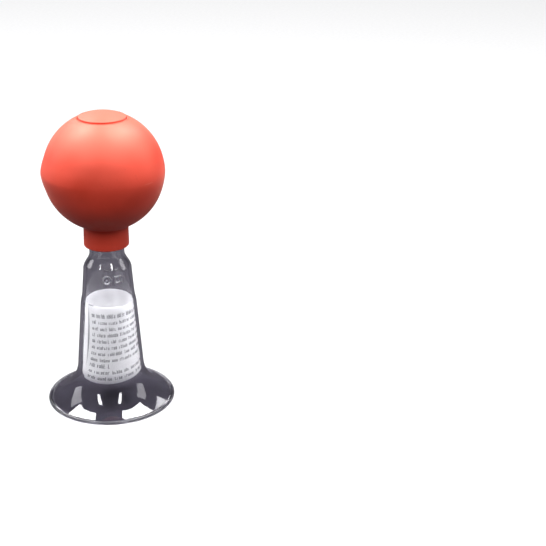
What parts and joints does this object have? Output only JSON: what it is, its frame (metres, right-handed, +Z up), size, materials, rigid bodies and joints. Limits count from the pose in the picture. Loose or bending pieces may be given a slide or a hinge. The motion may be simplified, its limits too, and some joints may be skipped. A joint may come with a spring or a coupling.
{
  "type": "manual bulb breast pump",
  "caption": "Manual breast pump: a clear flared bell standing on its mouth, a rubber squeeze bulb pushed onto its neck and a rolled paper leaflet inside the barrel.",
  "frame": {"origin": "centre of the rim, on the surface the pump stands on", "axes": "+Z up along the bell's axis to the bulb's crown, -Y to the front, where the moulded mark is"},
  "size_m": [0.065, 0.065, 0.1527],
  "materials": {
    "bell": "clear, polished, faintly smoky",
    "bulb": "matt with a soft sheen",
    "crown": "matt with a soft sheen",
    "paper": "uncoated printed paper"
  },
  "bodies": {
    "bell": {"clear_bell": "bell"},
    "bulb": {"rubber_bulb": "bulb"},
    "crown": {"crown_disc": "crown"},
    "leaflet": {"leaflet": "paper"}
  },
  "joints": [
    {"name": "bulb_pull_off", "type": "slide", "parent": "bell", "child": "bulb", "axis": [0, 0, 1], "range_m": [0, 0.03]},
    {"name": "bulb_squeeze", "type": "slide", "parent": "bulb", "child": "crown", "axis": [0, 0, -1], "range_m": [0, 0.02], "stiffness_N_per_m": 600},
    {"name": "leaflet_pull_out", "type": "slide", "parent": "bell", "child": "leaflet", "axis": [0, 0, -1], "range_m": [0, 0.06]}
  ]
}
